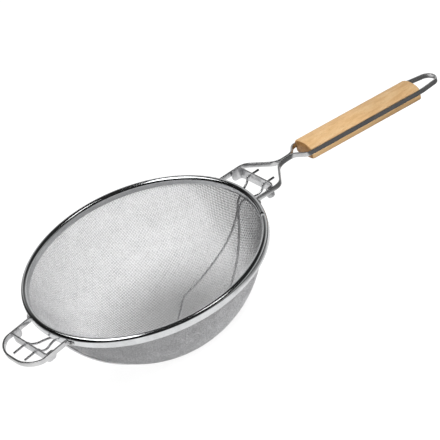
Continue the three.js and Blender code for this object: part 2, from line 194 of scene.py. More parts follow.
# %% Floor
floor_size, floor_gap = 6, 0.0005
clear_selection()
bpy.ops.mesh.primitive_plane_add(size=floor_size, location=(0, 0, -floor_gap))
floor = bpy.context.object
floor.name = "floor"
print("floor at", floor.location.z)

# %% Floor paint
shade_middle = (axis_x + 0.03, 0.03, 0)
shade_reach, shade_dark, floor_bright = 0.10, 0.32, 0.92
chalk_grey = 0.16
floor_paint = bpy.data.materials.new("pale_floor")
floor_paint.use_nodes = True
nodes, links = floor_paint.node_tree.nodes, floor_paint.node_tree.links
nodes.clear()
output = nodes.new("ShaderNodeOutputMaterial")
place = nodes.new("ShaderNodeTexCoord").outputs["Object"]
from_shade = nodes.new("ShaderNodeVectorMath")
from_shade.operation = "DISTANCE"
from_shade.inputs[1].default_value = shade_middle
links.new(place, from_shade.inputs[0])
glow = nodes.new("ShaderNodeEmission")
glow.inputs["Color"].default_value = (1, 1, 1, 1)
shade = map_range(links, nodes, from_shade.outputs["Value"], 0.0, shade_reach, shade_dark, floor_bright)
links.new(shade, glow.inputs["Strength"])
chalk = nodes.new("ShaderNodeBsdfDiffuse")
chalk.inputs["Color"].default_value = (chalk_grey, chalk_grey, chalk_grey, 1)
seen = nodes.new("ShaderNodeAddShader")
links.new(glow.outputs[0], seen.inputs[0])
links.new(chalk.outputs[0], seen.inputs[1])
bounced = nodes.new("ShaderNodeEmission")
to_right = falling_off(links, nodes, place, (0.9, -0.44, 0), 0.10, 0.17, 0.85, 0.12)
to_back = falling_off(links, nodes, place, (-0.75, 0.66, 0), 0.27, 0.50, 1.0, 0.06)
links.new(times(links, nodes, to_right, to_back), bounced.inputs["Strength"])
seen_or_bounced(links, nodes, seen, bounced, output)
floor.data.materials.append(floor_paint)
print("shade on the floor from", shade_dark, "to", floor_bright)

# %% World: white to the camera, a bright horizon under a dim ceiling for the metal
horizon_bright, ceiling_dim = 0.70, 0.02
world = bpy.data.worlds.new("studio")
bpy.context.scene.world = world
world.use_nodes = True
nodes, links = world.node_tree.nodes, world.node_tree.links
nodes.clear()
output = nodes.new("ShaderNodeOutputWorld")
backdrop = nodes.new("ShaderNodeBackground")
backdrop.inputs["Color"].default_value = (1, 1, 1, 1)
room = nodes.new("ShaderNodeBackground")
direction = nodes.new("ShaderNodeTexCoord").outputs["Generated"]
slope = (-0.18, -0.24, 1.0)
ceiling = falling_off(links, nodes, direction, slope, 0.05, 0.42, horizon_bright, ceiling_dim)
dark_corner = falling_off(links, nodes, direction, (-0.75, 0.66, 0), 0.50, 0.80, 1.0, 0.04)
links.new(times(links, nodes, ceiling, dark_corner), room.inputs["Strength"])
seen_or_bounced(links, nodes, backdrop, room, output)
bpy.context.scene.view_settings.view_transform = "Standard"
print("room brightness from horizon to ceiling", horizon_bright, ceiling_dim)

# %% [markdown]
# Three soft boxes light the strainer. Matt mesh and wood need strong light, and the same light mirrored
# in polished metal would be far too bright. So a box that is to show in the metal is placed twice: once
# for matt surfaces only, and once, about a third as strong, for reflections only.


# %% Three soft boxes
def soft_box(name, place, aim, size, power):
    data = bpy.data.lights.new(name, "AREA")
    data.shape = "RECTANGLE"
    data.size, data.size_y = size
    data.energy = power
    box = bpy.data.objects.new(name, data)
    bpy.context.collection.objects.link(box)
    box.location = place
    box.rotation_euler = (Vector(aim) - Vector(place)).to_track_quat("-Z", "Y").to_euler()
    print(name, "power", power)
    return box


box_aim = (-0.11, 0, 0.1)
for name, place, size, shine, power in (
    ("long_box", (-0.69, 0.41, 1.6), (1.45, 0.75), 9.2, 28),
    ("short_box", (0.36, -0.58, 1.6), (0.28, 0.72), 1.7, 6),
    ("fill_box", (0.55, -1.6, 1.35), (0.8, 0.8), 0, 38),
):
    if shine:
        soft_box(f"{name}_seen", place, box_aim, size, shine).visible_diffuse = False
    soft_box(name, place, box_aim, size, power).visible_glossy = False

# %% [markdown]
# Every metal here is steel with a thin plating that has been handled: cloudy patches where it is duller,
# and a fine grain that breaks up the reflections. The wires of the bowl also have small bright and dull
# flecks in their colour, painted glints of the crossings that each catch the light differently. Each effect
# is made once as a node group and placed in a finish with its own size and strength.

# %% Node group: cloudy handling marks
def new_group(name, inputs, outputs):
    group = bpy.data.node_groups.new(name, "ShaderNodeTree")
    for title, value in inputs:
        socket = group.interface.new_socket(title, in_out="INPUT", socket_type="NodeSocketFloat")
        socket.default_value = value
    for title in outputs:
        group.interface.new_socket(title, in_out="OUTPUT", socket_type="NodeSocketFloat")
    return group, group.nodes.new("NodeGroupInput"), group.nodes.new("NodeGroupOutput")


clouds, start, end = new_group(
    "handling_clouds", [("Patch Size", 60.0), ("Clean", 0.2), ("Dull", 0.35)], ["Dullness", "Patches"]
)
nodes, links = clouds.nodes, clouds.links
where = nodes.new("ShaderNodeTexCoord")
broad = nodes.new("ShaderNodeTexNoise")
broad.inputs["Detail"].default_value = 5
broad.inputs["Roughness"].default_value = 0.62
span = nodes.new("ShaderNodeMapRange")
span.inputs["From Min"].default_value = 0.32
span.inputs["From Max"].default_value = 0.68
links.new(where.outputs["Object"], broad.inputs["Vector"])
links.new(start.outputs["Patch Size"], broad.inputs["Scale"])
links.new(broad.outputs["Fac"], span.inputs["Value"])
links.new(start.outputs["Clean"], span.inputs["To Min"])
links.new(start.outputs["Dull"], span.inputs["To Max"])
links.new(span.outputs[0], end.inputs["Dullness"])
links.new(broad.outputs["Fac"], end.inputs["Patches"])
print("group", clouds.name)

# %% Node group: fine grain of drawn or rolled metal
grain, start, end = new_group("metal_grain", [("Grain Size", 900.0), ("Depth", 1.0)], ["Height"])
nodes, links = grain.nodes, grain.links
where = nodes.new("ShaderNodeTexCoord")
fine = nodes.new("ShaderNodeTexNoise")
fine.inputs["Detail"].default_value = 3
deep = nodes.new("ShaderNodeMath")
deep.operation = "MULTIPLY"
links.new(where.outputs["Object"], fine.inputs["Vector"])
links.new(start.outputs["Grain Size"], fine.inputs["Scale"])
links.new(fine.outputs["Fac"], deep.inputs[0])
links.new(start.outputs["Depth"], deep.inputs[1])
links.new(deep.outputs[0], end.inputs["Height"])
print("group", grain.name)

# %% Node group: bright and dull flecks along a wire
flecks, start, end = new_group("wire_flecks", [("Strength", 0.3)], ["Tone"])
nodes, links = flecks.nodes, flecks.links
where = nodes.new("ShaderNodeTexCoord")
spots = nodes.new("ShaderNodeTexNoise")
spots.inputs["Scale"].default_value = 680
swing = nodes.new("ShaderNodeMath")
swing.operation = "MULTIPLY_ADD"
swing.inputs[2].default_value = 1.0
links.new(where.outputs["Object"], spots.inputs["Vector"])
links.new(map_range(links, nodes, spots.outputs["Fac"], 0.3, 0.7, -1.0, 1.0, "LINEAR"), swing.inputs[0])
links.new(start.outputs["Strength"], swing.inputs[1])
links.new(swing.outputs[0], end.inputs["Tone"])
print("group", flecks.name)


# %% A metal finish
def metal(name, light, dark, clean, dull, depth=0.25, metallic=1.0, speckle=0.0):
    """A finish: its light and dark colours, its roughness clean and dull, its grain and its flecks."""
    paint = bpy.data.materials.new(name)
    paint.use_nodes = True
    nodes, links = paint.node_tree.nodes, paint.node_tree.links
    steel = nodes["Principled BSDF"]
    steel.inputs["Metallic"].default_value = metallic
    marks = nodes.new("ShaderNodeGroup")
    marks.node_tree = clouds
    marks.inputs["Clean"].default_value = clean
    marks.inputs["Dull"].default_value = dull
    tone = nodes.new("ShaderNodeValToRGB")
    tone.color_ramp.elements[0].position = 0.36
    tone.color_ramp.elements[0].color = (*light, 1)
    tone.color_ramp.elements[1].position = 0.66
    tone.color_ramp.elements[1].color = (*dark, 1)
    surface = nodes.new("ShaderNodeGroup")
    surface.node_tree = grain
    bump = nodes.new("ShaderNodeBump")
    bump.inputs["Strength"].default_value = depth
    bump.inputs["Distance"].default_value = 0.0002
    links.new(marks.outputs["Patches"], tone.inputs["Fac"])
    colour = tone.outputs["Color"]
    if speckle:
        spots = nodes.new("ShaderNodeGroup")
        spots.node_tree = flecks
        spots.inputs["Strength"].default_value = speckle
        colour = toned(links, nodes, colour, spots.outputs["Tone"])
    links.new(colour, steel.inputs["Base Color"])
    links.new(marks.outputs["Dullness"], steel.inputs["Roughness"])
    links.new(surface.outputs["Height"], bump.inputs["Height"])
    links.new(bump.outputs["Normal"], steel.inputs["Normal"])
    print("finish", name)
    return paint


print("metal finish ready")

# %% Metal finishes
rim_plate = metal("bright_rim_plate", (0.86, 0.87, 0.88), (0.76, 0.77, 0.78), 0.10, 0.18, depth=0.05)
strip_steel = metal("plated_strip_steel", (0.80, 0.80, 0.80), (0.66, 0.66, 0.67), 0.17, 0.28)
bracket_steel = metal("bracket_steel", (0.76, 0.76, 0.77), (0.62, 0.62, 0.63), 0.22, 0.34)
bright_wire = metal("bright_drawn_wire", (0.80, 0.80, 0.81), (0.66, 0.66, 0.67), 0.16, 0.26)
rivet_steel = metal("rivet_steel", (0.66, 0.66, 0.66), (0.50, 0.50, 0.50), 0.22, 0.34)
coarse_wire = metal(
    "coarse_mesh_wire", (0.72, 0.72, 0.73), (0.60, 0.60, 0.61), 0.40, 0.50, metallic=0.1, speckle=0.2
)
fine_wire = metal(
    "fine_mesh_wire", (0.66, 0.66, 0.67), (0.54, 0.54, 0.55), 0.28, 0.40, metallic=0.4, speckle=0.4
)
core_steel = metal("core_wire_steel", (0.40, 0.40, 0.41), (0.30, 0.30, 0.31), 0.34, 0.46)
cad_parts["rim_core_wire"].data.materials.clear()
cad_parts["rim_core_wire"].data.materials.append(core_steel)

# %% [markdown]
# In the photograph the bottom of the bowl is darker than its walls, and on the wall below the handle the
# coarse wires stand out dark against the fine ones. Both are painted shade: fades across the bowl that the
# two meshes share with different strengths, so they are one node group. Where they come from, wear or
# light, one picture can't tell. On the wall below the handle the fine wires are painted lighter, a painted
# light.

# %% Node group: tones across the bowl
def retone(paint, tone):
    """Puts a tone between a finish and its colour."""
    nodes, links = paint.node_tree.nodes, paint.node_tree.links
    coat = nodes["Principled BSDF"].inputs["Base Color"]
    links.new(toned(links, nodes, coat.links[0].from_socket, tone), coat)


fade_depths = (60, 96)
side_reaches = (82, 112)
side_x, side_y = 0.97, -0.24
painted_bowl_shade, start, end = new_group("bowl_painted_shade", [("Bottom", 0.5), ("Side", 0.5)], ["Tone"])
nodes, links = painted_bowl_shade.nodes, painted_bowl_shade.links
where = nodes.new("ShaderNodeTexCoord").outputs["Object"]
deep = [depth * MM - rim_z for depth in fade_depths]
aside = [axis_x * side_x + reach * MM for reach in side_reaches]
at_bottom = falling_off(links, nodes, where, (0, 0, -1), *deep, 1.0, 0.5)
at_side = falling_off(links, nodes, where, (side_x, side_y, 0), *aside, 1.0, 0.5)
links.new(start.outputs["Bottom"], at_bottom.node.inputs["To Max"])
links.new(start.outputs["Side"], at_side.node.inputs["To Max"])
links.new(times(links, nodes, at_bottom, at_side), end.inputs["Tone"])
# Painted shade: both meshes darker towards the bottom, the coarse wires darker on the wall below the
# handle; the fine wires there get a painted light.
for wire, bottom, side in ((coarse_wire, 0.5, 0.42), (fine_wire, 0.6, 1.15)):
    bowl_shade_tone = wire.node_tree.nodes.new("ShaderNodeGroup")
    bowl_shade_tone.node_tree = painted_bowl_shade
    bowl_shade_tone.inputs["Bottom"].default_value = bottom
    bowl_shade_tone.inputs["Side"].default_value = side
    retone(wire, bowl_shade_tone.outputs["Tone"])
    print("bowl tones in", wire.name, bottom, side)

# %% [markdown]
# The inner lip of the rim looks into the bowl and is painted darker than the bead above it, a painted
# shade. The lip is picked out by its distance from the bowl's axis, which is the least on the rim.

# %% Inner lip of the rim
lip_radius = rim_radius - 2 * bead_radius
lip_painted_shade = 0.74
nodes, links = rim_plate.node_tree.nodes, rim_plate.node_tree.links
flat = nodes.new("ShaderNodeVectorMath")
flat.operation = "MULTIPLY"
flat.inputs[1].default_value = (1, 1, 0)
reach = nodes.new("ShaderNodeVectorMath")
reach.operation = "DISTANCE"
reach.inputs[1].default_value = (axis_x, 0, 0)
links.new(nodes.new("ShaderNodeTexCoord").outputs["Object"], flat.inputs[0])
links.new(flat.outputs[0], reach.inputs[0])
lip_edge = [(lip_radius + 0.1) * MM, (lip_radius + 0.6) * MM]
# Painted shade on the inner lip of the rim.
retone(rim_plate, map_range(links, nodes, reach.outputs["Value"], *lip_edge, lip_painted_shade, 1.0, "LINEAR"))
print("lip toned inside", round(lip_edge[1], 4))

# %% [markdown]
# The rim is a strip of sheet folded over the top edge of the meshes like an upside-down gutter, then bent
# into a ring and butted at one seam. A gutter with the same section all the way round is best spun: its
# section is drawn once and swept round the bowl's axis, stopping short by the width of the seam.


def keep(obj, finish, slot, *nodes):
    """Paints a finished piece, ties it to the model's body and hides the solids it stands for; the slot is
    not used.
    """
    obj.data.materials.clear()
    obj.data.materials.append(finish)
    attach(obj, "root")
    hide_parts(*nodes)
    report(obj)


def open_line(name, points):
    """An object of one open line of edges through the points, in metres."""
    mesh = bpy.data.meshes.new(name)
    mesh.from_pydata([tuple(p) for p in points], [(i, i + 1) for i in range(len(points) - 1)], [])
    obj = bpy.data.objects.new(name, mesh)
    bpy.context.collection.objects.link(obj)
    return obj


print("piece helpers ready")

# %% Rim hoop
seam_angle, seam_width = math.radians(-29.6), 0.6
outer_skirt, inner_skirt, sheet_thick = 5.8, 4.6, 0.8
seam_gap = seam_width / rim_radius
bead_middle = rim_radius - bead_radius
section = [(rim_radius, -outer_skirt), (rim_radius, -3.0)]
section += [
    (bead_middle + bead_radius * math.cos(a), bead_radius * math.sin(a))
    for a in np.linspace(0, math.pi, 17)
]
section += [(lip_radius, -2.4), (lip_radius, -inner_skirt)]
first = seam_angle + seam_gap / 2
rim = open_line("rim_hoop_sheet", [at(r * math.cos(first), r * math.sin(first), z) for r, z in section])
take(rim)
bpy.ops.object.mode_set(mode="EDIT")
bpy.ops.mesh.select_all(action="SELECT")
bpy.ops.mesh.spin(
    steps=220, angle=2 * math.pi - seam_gap, center=at(0, 0, 0), axis=(0, 0, 1), use_auto_merge=False
)
bpy.ops.mesh.select_all(action="SELECT")
bpy.ops.mesh.normals_make_consistent(inside=False)
bpy.ops.object.mode_set(mode="OBJECT")
sheet = rim.modifiers.new("sheet", "SOLIDIFY")
sheet.thickness = sheet_thick * MM
sheet.offset = -1
lips = rim.modifiers.new("lips", "BEVEL")
lips.width = 0.18 * MM
lips.segments = 2
lips.limit_method = "ANGLE"
lips.angle_limit = math.radians(50)
apply_modifiers(rim)
keep(settle(rim), rim_plate, "plated_rim", "rim_hoop")

# %% [markdown]
# The bowl is two woven meshes pressed together: a coarse one inside that takes the load, and a fine one
# outside it that does the straining. Each is woven flat, one wire over and one under the next, and then
# pressed. Pressing is copied here by walking along the bowl's outline: a point as far from the middle of
# the flat cloth as the tape measures is put at that length along the curve. Each wire is a curve with a
# round bevel, and the wires that run one way are kept in a few groups of moderate size.

# %% The bowl's outline, measured along its curve
wall_angle = math.radians(26.5)
bowl_radius, bowl_centre = 126.03, 25.03
cap_length = bowl_radius * (math.pi / 2 - wall_angle)
knee_z, cloth_top = bowl_centre - bowl_radius * math.sin(wall_angle), -2.5
wall_length = (cloth_top - knee_z) / math.cos(wall_angle)
cloth_radius = cap_length + wall_length


def pressed(u, v, out):
    """Places flat cloth points (arrays, mm) on the bowl, moved outwards by out."""
    length, around = np.hypot(u, v), np.arctan2(v, u)
    lean = np.minimum(length, cap_length) / bowl_radius
    up_wall = np.maximum(length - cap_length, 0)
    r = bowl_radius * np.sin(lean) + up_wall * math.sin(wall_angle) + out * np.sin(lean)
    z = bowl_centre - bowl_radius * np.cos(lean) + up_wall * math.cos(wall_angle) - out * np.cos(lean)
    return np.stack([axis_x + r * np.cos(around) * MM, r * np.sin(around) * MM, rim_z + z * MM], axis=-1)


print("cloth radius", round(cloth_radius, 2), "mm, of which wall", round(wall_length, 2))


# %% Weaving
def weave(name, pitch, wire, depth, turn_deg, parts):
    """Curves of woven wire: pitch and wire in mm, depth of the cloth's middle inside the bowl's outside."""
    half = int(cloth_radius / pitch)
    turn_rad = math.radians(turn_deg)
    cos, sin = math.cos(turn_rad), math.sin(turn_rad)
    pieces = []
    for way in (0, 1):
        lanes = list(range(-half, half + 1))
        for part in range(parts):
            first_lane = part * len(lanes) // parts
            last_lane = (part + 1) * len(lanes) // parts
            curve = bpy.data.curves.new(name, "CURVE")
            curve.dimensions = "3D"
            curve.bevel_depth = wire / 2 * MM
            curve.bevel_resolution = 0
            curve.use_fill_caps = True
            for lane in lanes[first_lane:last_lane]:
                offset = lane * pitch
                reach = math.sqrt(max(cloth_radius**2 - offset**2, 0))
                count = int(reach / pitch)
                if count < 2:
                    continue
                along = np.arange(-count, count + 1)
                wave = np.cos(math.pi * along) * (1 if (lane + way) % 2 else -1)
                along = np.concatenate([[-reach / pitch], along, [reach / pitch]]) * pitch
                wave = np.concatenate([[0], wave, [0]])
                across = np.full_like(along, offset)
                a, b = (along, across) if way else (across, along)
                flat_u, flat_v = a * cos - b * sin, a * sin + b * cos
                points = pressed(flat_u, flat_v, -depth + wave * wire * 0.5)
                spline = curve.splines.new("POLY")
                spline.points.add(len(points) - 1)
                packed = np.concatenate([points, np.ones((len(points), 1))], axis=1)
                spline.points.foreach_set("co", packed.astype(np.float32).ravel())
            obj = bpy.data.objects.new(f"{name}_{'weft' if way else 'warp'}_{part + 1}", curve)
            bpy.context.collection.objects.link(obj)
            take(obj)
            bpy.ops.object.convert(target="MESH")
            bpy.ops.object.shade_smooth()
            pieces.append(bpy.context.object)
    return pieces


# %% Fine mesh, outside
for piece in weave("fine_mesh", pitch=1.2, wire=0.23, depth=0.24, turn_deg=45, parts=4):
    keep(piece, fine_wire, "fine_mesh", "outer_mesh_bowl")

# %% Coarse mesh, inside
for piece in weave("coarse_mesh", pitch=2.65, wire=0.60, depth=0.90, turn_deg=6, parts=1):
    keep(piece, coarse_wire, "coarse_mesh", "inner_mesh_bowl")


# %% [markdown]
# The handle frame is one flat strip standing on its edge. It leaves the rim as a leg, closes to the
# throat, opens round the grip and ends in the loop that hangs on a hook. It is drawn as a line seen from
# above, raised into a ribbon, thickened, trimmed to the rim, and its edges rounded.

# %% Lines with rounded corners
def rounded(start, corners, steps=7):
    """A line from start through corners (x, y, rounding), each corner turned with a smooth bend."""
    line = [Vector(start)]
    for i, (x, y, bend) in enumerate(corners):
        corner = Vector((x, y))
        if not bend:
            line.append(corner)
            continue
        before = corner + (line[-1] - corner).normalized() * bend
        after = corner + (Vector(corners[i + 1][:2]) - corner).normalized() * bend
        for t in np.linspace(0, 1, steps):
            line.append(before * (1 - t) ** 2 + corner * 2 * t * (1 - t) + after * t * t)
    return line


def both_sides(half):
    """The line and its mirror image, as one line that crosses the middle."""
    mirror = [Vector((p.x, -p.y)) for p in reversed(half)]
    return half + (mirror[1:] if abs(half[-1].y) < 1e-6 else mirror)


print("line helpers ready")


# %% Strips: a line raised into a ribbon and thickened
def ribbon(name, line, height, top):
    """A ribbon standing on edge along a plan line, in the level frame of the rim's middle."""
    curve = bpy.data.curves.new(name, "CURVE")
    curve.dimensions = "2D"
    curve.fill_mode = "NONE"
    curve.extrude = height / 2 * MM
    spline = curve.splines.new("POLY")
    spline.points.add(len(line) - 1)
    for point, p in zip(spline.points, line):
        point.co = (p.x * MM, p.y * MM, 0, 1)
    obj = bpy.data.objects.new(name, curve)
    bpy.context.collection.objects.link(obj)
    obj.location = at(0, 0, top - height / 2)
    take(obj)
    bpy.ops.object.convert(target="MESH")
    obj = bpy.context.object
    bpy.ops.object.transform_apply(location=True, rotation=True, scale=True)
    bpy.ops.object.mode_set(mode="EDIT")
    bpy.ops.mesh.select_all(action="SELECT")
    bpy.ops.mesh.remove_doubles(threshold=1e-6)
    bpy.ops.object.mode_set(mode="OBJECT")
    return obj


def thicken(obj, thickness, edge, cutters=()):
    walls = obj.modifiers.new("walls", "SOLIDIFY")
    walls.thickness = thickness * MM
    walls.offset = 0
    walls.use_even_offset = True
    for i, cutter in enumerate(cutters):
        hole = obj.modifiers.new(f"hole_{i}", "BOOLEAN")
        hole.object = cutter
        hole.solver = "EXACT"
    rounding = obj.modifiers.new("rounding", "BEVEL")
    rounding.width = edge * MM
    rounding.segments = 3
    rounding.limit_method = "ANGLE"
    rounding.angle_limit = math.radians(40)
    apply_modifiers(obj)
    for cutter in cutters:
        bpy.data.objects.remove(cutter)


print("strip helpers ready")

# %% Droop and bend of the strips
strip_height, strip_thick, strip_top = 5.3, 2.0, -0.1
strip_middle = strip_top - strip_height / 2
handle_droop, ear_droop, grip_bend = 3.5, 3.3, 4.8
throat_end = 200


def place_drooping(obj, droop, way):
    """Turns a level piece to its side of the bowl (way 1 rear, -1 front) and lets it droop at the rim."""
    take(obj)
    if way < 0:
        bpy.ops.transform.rotate(value=math.pi, orient_axis="Z", center_override=at(0, 0, 0))
    pivot = at(way * rim_radius, 0, strip_middle)
    bpy.ops.transform.rotate(value=-way * math.radians(droop), orient_axis="Y", center_override=pivot)
    bpy.ops.object.transform_apply(location=True, rotation=True, scale=True)


def rim_trim(droop):
    """A drum that fits the rim, leant back by the droop, to trim a leg that is still level."""
    clear_selection()
    bpy.ops.mesh.primitive_cylinder_add(
        vertices=180, radius=(rim_radius + 0.3) * MM, depth=40 * MM, location=at(0, 0, 0)
    )
    pivot = at(rim_radius, 0, strip_middle)
    bpy.ops.transform.rotate(value=math.radians(droop), orient_axis="Y", center_override=pivot)
    return bpy.context.object


def bend_down(obj):
    """Past the throat the handle bends further: each point drops in step with its distance past it."""
    start, slope = at(throat_end, 0, 0).x, math.tan(math.radians(grip_bend))
    for v in obj.data.vertices:
        v.co.z -= slope * max(v.co.x - start, 0)


print("droop of handle and ear", handle_droop, ear_droop, "further bend of the grip", grip_bend)

# %% Handle frame
leg_side, ear_side, grip_side, throat_side = 31, 32.3, 13, 1.15
loop_x, loop_radius, strip_edge = 384.57, 10, 0.55
half = rounded(
    (125, leg_side),
    [
        (158.5, leg_side, 7),
        (180, throat_side, 9),
        (throat_end, throat_side, 4.5),
        (210, grip_side, 4.5),
        (367.5, grip_side, 4.5),
        (loop_x, loop_radius, 0),
    ],
)
half += [
    Vector((loop_x + loop_radius * math.sin(a), loop_radius * math.cos(a)))
    for a in np.linspace(0, math.pi / 2, 12)[1:]
]
half[-1].y = 0
handle_strip = ribbon("handle_frame_strip", both_sides(half), strip_height, strip_top)
thicken(handle_strip, strip_thick, strip_edge, [rim_trim(handle_droop)])
bend_down(handle_strip)
place_drooping(handle_strip, handle_droop, 1)
keep(settle(handle_strip), strip_steel, "strip_steel", "handle_frame")

# %% Front ear
bow_start, bow_end = 155, 172.8
half = [Vector((124, ear_side)), Vector((bow_start, ear_side))]
bow = [Vector(p) for p in ((bow_start, ear_side), (162.52, ear_side), (bow_end, 20.08), (bow_end, 6))]
for t in np.linspace(0, 1, 14)[1:]:
    s = 1 - t
    half.append(bow[0] * s**3 + bow[1] * 3 * s * s * t + bow[2] * 3 * s * t * t + bow[3] * t**3)
ear_strip = ribbon("front_ear_strip", both_sides(half), strip_height, strip_top)
thicken(ear_strip, strip_thick, strip_edge, [rim_trim(ear_droop)])
place_drooping(ear_strip, ear_droop, -1)
keep(settle(ear_strip), strip_steel, "strip_steel", "front_ear")

# %% [markdown]
# The end of each leg is beaten flat into a thin foot that lies along the rim and takes the rivet. A foot is
# a short curved ribbon: an arc, raised, with the corners of its free end rounded before it gets thick.

# %% Feet
def round_ends(obj, at_end, radius):
    """Rounds the corners of a ribbon where the test picks its points."""
    take(obj)
    bpy.ops.object.mode_set(mode="EDIT")
    bpy.ops.mesh.select_mode(type="VERT")
    bpy.ops.mesh.select_all(action="DESELECT")
    bpy.ops.object.mode_set(mode="OBJECT")
    for v in obj.data.vertices:
        v.select = at_end(v.co)
    bpy.ops.object.mode_set(mode="EDIT")
    bpy.ops.mesh.bevel(offset=radius * MM, segments=6, affect="VERTICES")
    bpy.ops.object.mode_set(mode="OBJECT")


foot_length, foot_height, foot_top, foot_thick = 9.8, 4.2, -1.0, 0.8
foot_radius = rim_radius + 0.7


def foot(name, half_width, way, side, node):
    """A foot on one side of the rim (way 1 rear, -1 front), from its leg outwards."""
    start = math.asin((half_width - strip_thick / 2) / foot_radius)
    arc = [
        Vector((way * foot_radius * math.cos(a), side * foot_radius * math.sin(a)))
        for a in np.linspace(start, start + foot_length / foot_radius, 9)
    ]
    plate = ribbon(name, arc, foot_height, foot_top)
    tip = at(arc[-1].x, arc[-1].y, 0)
    round_ends(plate, lambda co: (co.xy - tip.xy).length < 1e-5, 1.6)
    thicken(plate, foot_thick, 0.2)
    keep(settle(plate), strip_steel, "strip_steel", node)


for name, side in (("left", 1), ("right", -1)):
    foot(f"yoke_foot_{name}", leg_side, 1, side, "handle_frame")
    foot(f"ear_foot_{name}", ear_side, -1, side, "front_ear")

# %% [markdown]
# A bracket is a short cross strip between two legs. Its ends are turned back along the legs as tabs with
# round corners, and two holes take the support wires. The corners are rounded while it is still a thin
# ribbon, where bevelling a corner point gives the curve, and the holes are drilled once it is thick.


# %% Cross brackets
def bracket(name, wall_x, side, bend, tab, top, height, hole_y, hole_z, droop, way):
    line = both_sides(rounded((wall_x - tab, side), [(wall_x, side, bend), (wall_x, 0, 0)]))
    obj = ribbon(name, line, height, top)
    end_x = at(wall_x - tab, 0, 0).x
    round_ends(obj, lambda co: abs(co.x - end_x) < 1e-5, 4.4)
    drills = []
    for y in (hole_y, -hole_y):
        clear_selection()
        bpy.ops.mesh.primitive_cylinder_add(
            vertices=24, radius=1.6 * MM, depth=8 * MM, location=at(wall_x, y, hole_z),
            rotation=(0, math.pi / 2, 0),
        )
        drills.append(bpy.context.object)
    thicken(obj, 1.5, 0.25, drills)
    place_drooping(obj, droop, way)
    return settle(obj)


bracket_in = 2.05
rear_wall, rear_hole_y, rear_hole_z = 151.5, 12.7, -4.5
front_wall, front_hole_y, front_hole_z = 151, 9.7, -5.3
rear = bracket(
    "rear_bracket_strip", rear_wall, leg_side - bracket_in, bend=6, tab=11, top=0.8, height=13,
    hole_y=rear_hole_y, hole_z=rear_hole_z, droop=handle_droop, way=1,
)
keep(rear, bracket_steel, "bracket_steel", "rear_bracket")
front = bracket(
    "front_bracket_strip", front_wall, ear_side - bracket_in, bend=2.5, tab=10, top=0.3, height=11,
    hole_y=front_hole_y, hole_z=front_hole_z, droop=ear_droop, way=-1,
)
keep(front, bracket_steel, "bracket_steel", "front_bracket")

# %% [markdown]
# Two bright wires carry the bowl from below. Each starts in the rear bracket, drops behind the rim, runs
# along under the mesh with two kinks, and comes up to the front bracket. A round wire is a curve with a
# round bevel: its route is a list of points, smoothed so that it bends as a wire does.


# %% A smooth line through points
def smooth_route(points, steps):
    """A smooth line through all the points, by the centripetal rule that never overshoots."""
    p = [2 * points[0] - points[1]] + points + [2 * points[-1] - points[-2]]
    route = []
    for i in range(1, len(p) - 2):
        knots = [0.0]
        for k in range(3):
            knots.append(knots[-1] + math.sqrt((p[i + k] - p[i + k - 1]).length))
        t0, t1, t2, t3 = knots
        for t in np.linspace(t1, t2, steps, endpoint=False):
            a1 = p[i - 1] * ((t1 - t) / (t1 - t0)) + p[i] * ((t - t0) / (t1 - t0))
            a2 = p[i] * ((t2 - t) / (t2 - t1)) + p[i + 1] * ((t - t1) / (t2 - t1))
            a3 = p[i + 1] * ((t3 - t) / (t3 - t2)) + p[i + 2] * ((t - t2) / (t3 - t2))
            b1 = a1 * ((t2 - t) / (t2 - t0)) + a2 * ((t - t0) / (t2 - t0))
            b2 = a2 * ((t3 - t) / (t3 - t1)) + a3 * ((t - t1) / (t3 - t1))
            route.append(b1 * ((t2 - t) / (t2 - t1)) + b2 * ((t - t1) / (t2 - t1)))
    return route + [points[-1]]


print("smooth route ready")

# %% Places along a support wire
wire_radius, wire_below, wire_side = 1.3, 1.6, 1.45


def under_bowl(p):
    """The point below a plan point where a wire runs close under the fine mesh."""
    r, ball = p.length, bowl_radius + wire_below
    knee = ball * math.cos(wall_angle)
    if r < knee:
        return Vector((p.x, p.y, bowl_centre - math.sqrt(ball * ball - r * r)))
    knee_height = bowl_centre - ball * math.sin(wall_angle)
    return Vector((p.x, p.y, knee_height + (r - knee) / math.tan(wall_angle)))


def in_hole(way, wall, droop, hole_y, hole_z, step):
    """A point of a wire a step past the bracket's wall, on the drooping line through its hole."""
    drop = math.tan(math.radians(droop)) * (wall - rim_radius + step)
    return Vector((way * (wall + step), hole_y, hole_z - drop))


def fall(way, wall, hole_y):
    """The way of a wire from its bracket down behind the rim to the bowl."""
    return [
        Vector((way * (wall - 5.5), hole_y, -10.5)),
        Vector((way * (wall - 12), hole_y - 1.5, -13.5)),
        Vector((way * 132, (hole_y + wire_side) / 2, -13.5)),
        Vector((way * 124.5, wire_side + 1.5, -15)),
    ]


print("wire radius", wire_radius, "mm, middle", wire_below, "mm below the bowl's outline")

# %% Route of a support wire
plan = rounded(
    (117, wire_side),
    [
        (78, 19.04, 16),
        (39, 28, 5),
        (0, wire_side, 8),
        (-39, 28, 5),
        (-78, 19.04, 16),
        (-117, wire_side, 0),
    ],
)
lengths = np.concatenate([[0], np.cumsum([(b - a).length for a, b in zip(plan, plan[1:])])])
spaced = np.linspace(0, lengths[-1], 61)
plan_x = np.interp(spaced, lengths, [p.x for p in plan])
plan_y = np.interp(spaced, lengths, [p.y for p in plan])
rear_steps, front_steps = (12, 2.25, -2.25), (-2.25, 2.25, 15)
route = [in_hole(1, rear_wall, handle_droop, rear_hole_y, rear_hole_z, s) for s in rear_steps]
route += fall(1, rear_wall, rear_hole_y)
route += [under_bowl(Vector((x, y))) for x, y in zip(plan_x, plan_y)]
route += reversed(fall(-1, front_wall, front_hole_y))
route += [in_hole(-1, front_wall, ear_droop, front_hole_y, front_hole_z, s) for s in front_steps]
print("route of", len(route), "points")

